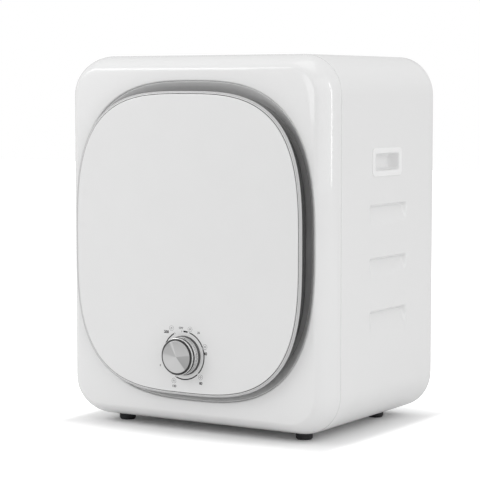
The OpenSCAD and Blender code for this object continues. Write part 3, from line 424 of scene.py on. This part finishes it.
lip = [polar_ring(funnel(y, 0.0), y) for y in (LIP_Y0 + 0.9, 4, 7, 10, 13, 16, 19, 22, 23.9)]
lip += [polar_ring(funnel(y, LIP_T), y) for y in (23.9, 20, 15, 10, 5.3)]
lip += [polar_ring(open_radius(TH, grow), y)
        for grow, y in ((-0.2, 4.4), (-0.15, 3.2), (-0.35, LIP_Y0 + 0.7))]
lip_form = loft("recess_lip_form", lip, "lip_grey", "cabinet", ["recess_lip"], sharp=30)
# slots for the hinge leaves
cut(lip_form, [((-208.5, -5, z - 22), (-150, 40, z + 22)) for z in HINGES])

# ---------------------------------------------------------------- door rim, bright line and panel
# the outline of the rim, line and groove follows the photograph
EDGE_W, EDGE_H, EDGE_Z, EDGE_N = DOOR_W - 2.2, DOOR_H + 4, DOOR_Z - 0.5, DOOR_N + 0.04
DOOR_POINTS = 320


def door_rings(steps):
    """Outlines of the door for steps of (growth, depth)."""
    return [squircle(EDGE_W + 2 * w, EDGE_H + 2 * w, EDGE_N, EDGE_Z, y, DOOR_POINTS) for w, y in steps]


rim = [(-15, -12.5), (-3.8, -12.5), (-2.6, -12.8), (-1.4, -13.6), (-0.6, -14.6), (-0.15, -15.7), (0, -16.8),
       (-0.1, -17.8), (-0.5, -18.55), (-1.1, -18.95), (-1.7, -19.0), (-2.2, -19.0), (-2.35, -18.9),
       (-2.4, -18.5), (-2.4, -17.95), (-15, -17.95)]
loft("door_rim_form", door_rings(rim), "rim_white", "door", ["door_rim"], sharp=40, flip=True)
line = [(-2.45, -18.0), (-2.45, -19.2), (-2.6, -19.5), (-3.0, -19.65), (-3.4, -19.6), (-3.6, -19.4),
        (-3.65, -18.9), (-3.65, -18.0)]
loft("door_line_form", door_rings(line), "trim_silver", "door", ["door_edge_trim"], sharp=40,
     flip=True)
# a real groove whose dark grey colour adds painted shade to its shadow line round the panel
groove = [(-3.6, -17.97), (-3.6, -19.0), (-4.75, -19.0), (-4.75, -17.97)]
loft("door_groove_painted_shade", door_rings(groove), "seal_grey", "door", sharp=40, flip=True)

# the panel: its side, its soft edge and its front face, closed by a middle point in front and one face behind
panel = door_rings([(-4.7, -18.05), (-4.7, -20.3), (-4.85, -20.7), (-5.2, -20.93), (-5.8, -20.99),
                    (-10, PANEL_Y)])
for share in (0.9, 0.75, 0.5, 0.25):
    panel.append(squircle((DOOR_W - 20) * share, (DOOR_H - 20) * share, DOOR_N - (1 - share) * 0.9,
                          DOOR_Z, PANEL_Y, DOOR_POINTS))
verts = [p for r in panel for p in r] + [P(0, PANEL_Y, DOOR_Z)]
faces = ring_faces(DOOR_POINTS, len(panel), flip=True)
middle, last = len(verts) - 1, (len(panel) - 1) * DOOR_POINTS
faces += [(last + (k + 1) % DOOR_POINTS, last + k, middle) for k in range(DOOR_POINTS)]
faces.append(tuple(range(DOOR_POINTS)))
piece("door_panel_form", verts, faces, "door_white", "door", ["door_panel"], sharp=40)

# a dark band round the liner's side: painted shade, so that the liner shows as shadow beyond the door's rim
BAND_IN, BAND_FRONT, BAND_REAR, BAND_AT_HINGES = 24, -12.45, 13.4, -1.6


def band_ring(grow, front):
    """One edge of the band; the front one is set back behind the hinges on the left."""
    ring = []
    for x, _, z in squircle(DOOR_W - BAND_IN + 2 * grow, DOOR_H - BAND_IN + 2 * grow, DOOR_N, DOOR_Z, 0,
                            DOOR_POINTS):
        depth = BAND_REAR if not front else BAND_AT_HINGES if x < -0.15 else BAND_FRONT
        ring.append((x, FRONT + depth / 1000, z))
    return ring


# the band's dark grey is painted shade
band = [band_ring(grow, front) for grow, front in ((0.05, True), (0.55, True), (0.55, False), (0.05, False))]
loft("liner_shade_band", band, "seal_grey", "door", sharp=40, flip=True)

# ---------------------------------------------------------------- knob and dial
KNOB = P(0, -30, KNOB_Z)                            # a point on the knob's axis


def lathe(name, profile, mat, body, replaces=(), count=160):
    """Turns a profile of (radius, depth) about the knob's axis."""
    rings = [[P(r * math.cos(2 * math.pi * k / count), y, KNOB_Z + r * math.sin(2 * math.pi * k / count))
              for k in range(count)] for r, y in profile]
    return loft(name, rings, mat, body, replaces, sharp=30.0, origin=KNOB)


# the dial ring's dark grey is painted shade for the contact shadow round the knob's foot
lathe("dial_ring_form", [(4.2, -21.0), (31.4, -21.0), (31.4, -21.5), (31.1, -22.9), (30.7, -23.6),
                         (30.0, -23.95), (29.4, -24.0), (4.2, -24.0)],
      "dial_silver", "door", ["dial_ring"], count=128)
lathe("knob_body_form", [(3.1, -24.35), (29.5, -24.35), (29.8, -24.7), (29.8, -25.5), (29.2, -26.0),
                         (28.3, -30.5), (27.6, -32.0), (27.3, -32.3), (27.3, -33.6), (27.6, -33.85),
                         (29.2, -33.9), (29.6, -34.3), (29.6, -39.7), (29.5, -40.3), (29.2, -40.75),
                         (28.6, -41.0), (27.6, -41.2), (27.6, -40.6), (3.1, -40.6)],
      "knob_silver", "knob", ["knob_body"])
# dark bands on the head's side and on the bevel round the cap: painted reflection of dark surroundings
lathe("knob_side_dark_reflection", [(29.55, -34.7), (29.68, -34.8), (29.68, -38.5), (29.55, -38.6)], "knob_dark", "knob")
lathe("knob_bevel_dark_reflection", [(25.6, -42.6), (25.8, -42.95), (26.1, -42.95), (28.55, -41.15), (28.6, -41.0),
                          (27.5, -40.7), (25.6, -40.7)], "knob_dark", "knob")
lathe("knob_cap_form", [(0.01, -43.0), (24.9, -43.0), (25.25, -42.95), (25.45, -42.8), (25.5, -42.5),
                        (25.5, -41.7), (0.01, -41.7)], "cap_spun", "knob", ["knob_cap"])

# ---------------------------------------------------------------- printing round the knob
PRINT_LIFT = 0.05                                   # thickness of the printing
MARK_R = 38.0                                       # radius of the dial's scale
mark_verts, mark_faces = [], []


def strip(points, width):
    """Adds a thin flat strip along points (x, z) on the panel's face."""
    pts = np.array(points, float)
    d = np.gradient(pts, axis=0)
    side = np.stack([-d[:, 1], d[:, 0]], 1)
    side *= width / 2 / np.linalg.norm(side, axis=1)[:, None]
    first = len(mark_verts)
    for p, q in zip(pts + side, pts - side):
        mark_verts.extend([P(p[0], PANEL_Y, p[1]), P(p[0], PANEL_Y - PRINT_LIFT, p[1]),
                           P(q[0], PANEL_Y - PRINT_LIFT, q[1]), P(q[0], PANEL_Y, q[1])])
    end = first + 4 * (len(pts) - 1)
    mark_faces.extend(tuple(first + i for i in q) for q in ring_faces(4, len(pts)))
    mark_faces.extend([(first, first + 3, first + 2, first + 1), (end, end + 1, end + 2, end + 3)])


def arc(r, a0, a1, width, cx=0.0, cz=KNOB_Z):
    """A strip round a centre, in degrees clockwise from the top."""
    strip([(cx + r * math.sin(math.radians(a)), cz + r * math.cos(math.radians(a)))
           for a in np.linspace(a0, a1, max(4, int(abs(a1 - a0) / 3)))], width)


for a0, a1, width in ((18, 67, 1.9), (71, 134, 1.9), (139, 202, 1.9), (286, 331, 1.9), (-1, 11, 2.6)):
    arc(MARK_R, a0, a1, width)
for a in (-6, 16, 69, 137, 205, 334):
    s, c = math.sin(math.radians(a)), math.cos(math.radians(a))
    strip([(r * s, KNOB_Z + r * c) for r in (MARK_R - 1.4, MARK_R + 1.4)], 0.6)
for x, dz in ((-23.3, 41.6), (11.7, 42.1), (39.8, 16.3), (31.4, -32.3), (-19.1, -41.5)):
    for r, width in ((3.9, 0.3), (1.2, 0.5)):
        arc(r, 0, 359.9, width, x, KNOB_Z + dz)
piece("dial_marks", mark_verts, mark_faces, "print_grey", "door", sharp=30)


def words(name, text, x, z, size, bold=0.22):
    """Flat lettering on the panel's face; bold thickens its strokes, in mm."""
    c = bpy.data.curves.new(name, "FONT")
    c.body = text
    c.size = size / 1000
    c.extrude = 0.03 / 1000
    c.offset = bold / 1000
    c.align_x, c.align_y = "CENTER", "CENTER"
    o = put(name, c)
    o.rotation_euler = (math.radians(90), 0, 0)
    o.location = P(x, PANEL_Y - 0.04, z)
    bpy.context.view_layer.update()
    me = bpy.data.meshes.new_from_object(o.evaluated_get(bpy.context.evaluated_depsgraph_get()))
    me.transform(o.matrix_world)
    bpy.data.objects.remove(o)
    me.materials.clear()
    me.materials.append(M["print_grey"])
    q = put(name, me)
    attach(q, "door")


words("dial_off", "OFF", -5.3, KNOB_Z + 43.0, 4.6, 0.08)
words("dial_20", "20", 27.7, KNOB_Z + 37.5, 4.6, 0.08)
words("dial_40", "40", 40.4, KNOB_Z + 5.4, 6.4)
words("dial_80", "80", 32.0, KNOB_Z - 42.0, 5.6)
words("dial_120", "120", -18.5, KNOB_Z - 50.1, 5.2, 0.12)
words("dial_200", "200", -33.0, KNOB_Z + 35.2, 6.0)
words("dial_0", "0", -44.9, KNOB_Z - 19.2, 4.4, 0.05)

# ---------------------------------------------------------------- cabinet shell with soft pressed pockets
POCKET_Y0, POCKET_L, POCKET_H, POCKET_TOP, POCKET_IN, PITCH = 137.0, 128.0, 35.0, 366.0, 7.84, 84.0
HOLE_Y0, HOLE_Y1, HOLE_Z0, HOLE_Z1 = 149.0, 239.0, 413.0, 450.0     # hole under the handle cup's frame
BOTTOM_Z, TOP_Z = BODY_Z - BODY_H / 2, BODY_Z + BODY_H / 2
# where the straight stretches end and the corners begin, across and in height
STRAIGHT_X, STRAIGHT_Z0, STRAIGHT_Z1 = BODY_W / 2 - BODY_R, BOTTOM_Z + BODY_R, TOP_Z - BODY_R
# how far the sheet's two ends roll in, by depth, and then the turned-in rear flange
END_ROLL = {46.2: 0.9, 46.35: 0.35, 46.9: 0.06, 355.4: 0.05, 356.4: 0.35, 356.9: 0.8, BODY_D: 1.3}
FLANGE = [(BODY_D, 6.0), (BODY_D, 17.0)]


def soft_step(t):
    t = np.clip(t, 0, 1)
    return t * t * (3 - 2 * t)


def pocket_depth(y, z):
    """Inward press of the side at depth y and height z: deepest under each pocket's upper edge."""
    out = 0.0
    for row in range(3):
        v = (POCKET_TOP - row * PITCH - z) / POCKET_H
        across = soft_step((y - POCKET_Y0) / 9.0) * soft_step((POCKET_Y0 + POCKET_L - y) / 9.0)
        up = soft_step(v / 0.16) * (1 - soft_step((v - 0.12) / 0.88))
        out = max(out, POCKET_IN * across * up)
    return out


def corner(x, z, start):
    """A rounded corner of the outline from a direction in degrees, without its first point."""
    turns = np.radians(start + np.linspace(0, 90, 15)[1:])
    return [(x + BODY_R * c, z + BODY_R * s, c, s, False) for c, s in zip(np.cos(turns), np.sin(turns))]


ys = sorted({*END_ROLL, 48.0, *np.arange(52, 130, 13.0), *np.arange(134.0, 269.0, 2.25), HOLE_Y0, HOLE_Y1,
             *np.arange(272, 350, 13.0)})
zs = sorted({*np.arange(STRAIGHT_Z0, 180, 13.0), *np.arange(182, 392, 1.75),
             *np.arange(394, STRAIGHT_Z1, 11.0), HOLE_Z0, HOLE_Z1, STRAIGHT_Z1})
xs = np.linspace(-STRAIGHT_X, STRAIGHT_X, 15)
# (x, z, outward x, outward z, whether on a side) all the way round, from the lower right corner anticlockwise
outline = [(BODY_W / 2, z, 1.0, 0.0, True) for z in zs] + corner(STRAIGHT_X, STRAIGHT_Z1, 0)
outline += [(x, TOP_Z, 0, 1, False) for x in xs[::-1][1:]] + corner(-STRAIGHT_X, STRAIGHT_Z1, 90)
outline += [(-BODY_W / 2, z, -1.0, 0.0, True) for z in zs[::-1][1:]] + corner(-STRAIGHT_X, STRAIGHT_Z0, 180)
outline += [(x, BOTTOM_Z, 0, -1, False) for x in xs[1:]] + corner(STRAIGHT_X, STRAIGHT_Z0, 270)[:-1]

rows = [(y, END_ROLL.get(y, 0.0)) for y in ys] + FLANGE
verts, faces = [], []
for y, inset in rows:
    for x, z, nx, nz, side in outline:
        d = inset + (pocket_depth(y, z) if side and POCKET_Y0 < y < POCKET_Y0 + POCKET_L else 0.0)
        verts.append(P(x - nx * d, y, z - nz * d))
count = len(outline)
for i in range(len(rows) - 1):
    for k in range(count):
        k2 = (k + 1) % count
        (_, z, _, _, side), (_, z2, _, _, side2) = outline[k], outline[k2]
        if (side and side2 and HOLE_Y0 <= rows[i][0] < HOLE_Y1
                and HOLE_Z0 - 0.01 <= min(z, z2) and max(z, z2) <= HOLE_Z1 + 0.01):
            continue
        faces.append((i * count + k2, (i + 1) * count + k2, (i + 1) * count + k, i * count + k))
piece("cabinet_shell_form", verts, faces, "shell_white", "cabinet", ["cabinet_shell"],
      sharp=40)

# ---------------------------------------------------------------- handle cups
CUP_Y0, CUP_Y1, CUP_Z0, CUP_Z1 = 145.0, 243.0, 409.0, 454.0
# distance from the middle, inset and corner radius, from the frame's outer edge in and then behind the cup
CUP_FRONT = [(245.02, 0.0, 8), (245.7, 0.05, 8), (246.1, 0.5, 8), (246.2, 1.2, 8), (246.2, 7.2, 6),
             (246.0, 8.2, 5.6), (245.2, 8.9, 5.2), (243.5, 9.3, 5.0), (238, 9.8, 5.0), (231, 10.6, 5.5),
             (227.6, 12.4, 6.2), (226.3, 15.0, 6.0)]
CUP_BACK = [(244.0, 6.6, 4.0), (225.0, 6.6, 4.5), (223.1, 8.2, 5.0)]


def cup_ring(x, inset, r, side):
    """A rounded rectangle on the cabinet's side at a distance x from the middle."""
    y0, y1, z0, z1 = CUP_Y0 + inset, CUP_Y1 - inset, CUP_Z0 + inset, CUP_Z1 - inset
    ring = []
    for cy, cz, start in ((y1 - r, z1 - r, 0), (y0 + r, z1 - r, 90), (y0 + r, z0 + r, 180),
                          (y1 - r, z0 + r, 270)):
        for a in np.radians(start + np.linspace(0, 90, 11)):
            ring.append(P(side * x, cy + r * math.cos(a), cz + r * math.sin(a)))
    return ring


def cup(side, name, replaces):
    """A handle cup on the right (side 1) or the left (side -1)."""
    front, behind = ([cup_ring(x, i, r, side) for x, i, r in part] for part in (CUP_FRONT, CUP_BACK))
    n = len(front[0])
    back = len(front) * n
    v = [p for r in front + behind for p in r]
    # the inside and its floor, then the back and its end, then the joint between their outer edges;
    # the side's sign turns the faces outward
    f = ring_faces(n, len(front), flip=side < 0) + [tuple(range(back - n, back))[::side]]
    f += [tuple(back + i for i in q)[::-side] for q in ring_faces(n, len(behind))]
    f.append(tuple(range(len(v) - n, len(v)))[::-side])
    f += [(k, (k + 1) % n, back + (k + 1) % n, back + k)[::-side] for k in range(n)]
    piece(name, v, f, "cup_white", "cabinet", replaces, sharp=40)


cup(1, "handle_right_form", ["handle_right"])
cup(-1, "handle_left_form", ["handle_left"])


# ---------------------------------------------------------------- light and ground
def seen_by_camera(nt, seen, unseen, out_socket):
    """Sends one shader to the camera's first look and another to all other light."""
    mix = nt.nodes.new("ShaderNodeMixShader")
    path = nt.nodes.new("ShaderNodeLightPath")
    nt.links.new(path.outputs["Is Camera Ray"], mix.inputs["Fac"])
    nt.links.new(unseen, mix.inputs[1])
    nt.links.new(seen, mix.inputs[2])
    nt.links.new(mix.outputs[0], out_socket)


# the studio: plain white to the camera, and a soft sky that is lighter above for all other light
world = bpy.data.worlds.new("studio")
bpy.context.scene.world = world
world.use_nodes = True
wt = world.node_tree
wt.nodes.clear()
w_out = wt.nodes.new("ShaderNodeOutputWorld")
w_seen = node(wt, "ShaderNodeBackground", Color=(1, 1, 1, 1), Strength=1.0)
w_light = node(wt, "ShaderNodeBackground", Strength=SKY)
w_axes = wt.nodes.new("ShaderNodeSeparateXYZ")
w_up = wt.nodes.new("ShaderNodeMapRange")
w_up.inputs["From Min"].default_value = -1.0
w_up.inputs["From Max"].default_value = 1.0
wt.links.new(wt.nodes.new("ShaderNodeTexCoord").outputs["Generated"], w_axes.inputs["Vector"])
wt.links.new(w_axes.outputs["Z"], w_up.inputs["Value"])
wt.links.new(ramp(wt, w_up.outputs["Result"], [(0.45, 0.85), (0.95, 1.15)]), w_light.inputs["Color"])
seen_by_camera(wt, w_seen.outputs[0], w_light.outputs[0], w_out.inputs["Surface"])

for name, place, aim, (wide, high), watts in LIGHTS:
    lamp = bpy.data.lights.new(name, "AREA")
    lamp.shape = "RECTANGLE"
    lamp.size, lamp.size_y = wide, high
    lamp.energy = watts
    o = put(name, lamp)
    o.location = place
    o.rotation_euler = (Vector(aim) - Vector(place)).to_track_quat("-Z", "Y").to_euler()

# the floor: to the camera a white that glows, a painted light which fades near the cabinet so that the real
# soft shadow shows only close by, and plain matte for all other light; the fade runs from the footprint,
# given by its middle and half its size, over its reach
FOOT_MIDDLE, FOOT_HALF, PAINTED_SHADOW_GLOW, PAINTED_SHADOW_REACH = (0, 0.013, 0), (0.245, 0.178, 0), 0.02, 0.11
gm = bpy.data.materials.new("ground")
gm.use_nodes = True
g = gm.node_tree
g_plain = g.nodes["Principled BSDF"]
g_plain.inputs["Base Color"].default_value = (FLOOR, FLOOR, FLOOR, 1)
g_plain.inputs["Roughness"].default_value = 0.9
g_plain.inputs["Specular IOR Level"].default_value = 0.0
g_glow = g.nodes.new("ShaderNodeEmission")
g_fade = g.nodes.new("ShaderNodeMapRange")
for socket, value in (("From Min", 0.0), ("From Max", PAINTED_SHADOW_REACH), ("To Min", PAINTED_SHADOW_GLOW),
                      ("To Max", GLOW)):
    g_fade.inputs[socket].default_value = value
last_out = g.nodes.new("ShaderNodeTexCoord").outputs["Object"]
# how far a point of the floor lies outside the cabinet's footprint, the sides counting three times
for kind, vector in (("SUBTRACT", FOOT_MIDDLE), ("ABSOLUTE", None), ("SUBTRACT", FOOT_HALF),
                     ("MAXIMUM", (0, 0, 0)), ("MULTIPLY", (3.0, 1, 1)), ("LENGTH", None)):
    g_step = g.nodes.new("ShaderNodeVectorMath")
    g_step.operation = kind
    g.links.new(last_out, g_step.inputs[0])
    if vector is not None:
        g_step.inputs[1].default_value = vector
    last_out = g_step.outputs["Value" if kind == "LENGTH" else "Vector"]
g.links.new(last_out, g_fade.inputs["Value"])
g.links.new(g_fade.outputs["Result"], g_glow.inputs["Strength"])
g_white = node(g, "ShaderNodeBsdfDiffuse", Color=(0.98, 0.98, 0.98, 1))
g_sum = g.nodes.new("ShaderNodeAddShader")
g.links.new(g_white.outputs[0], g_sum.inputs[0])
g.links.new(g_glow.outputs[0], g_sum.inputs[1])
seen_by_camera(g, g_sum.outputs[0], g_plain.outputs[0], g.nodes["Material Output"].inputs["Surface"])
floor = bpy.data.meshes.new("ground")
floor.from_pydata([(-9, -9, 0), (9, -9, 0), (9, 9, 0), (-9, 9, 0)], [], [(0, 1, 2, 3)])
floor.materials.append(gm)
ground = put("ground", floor)
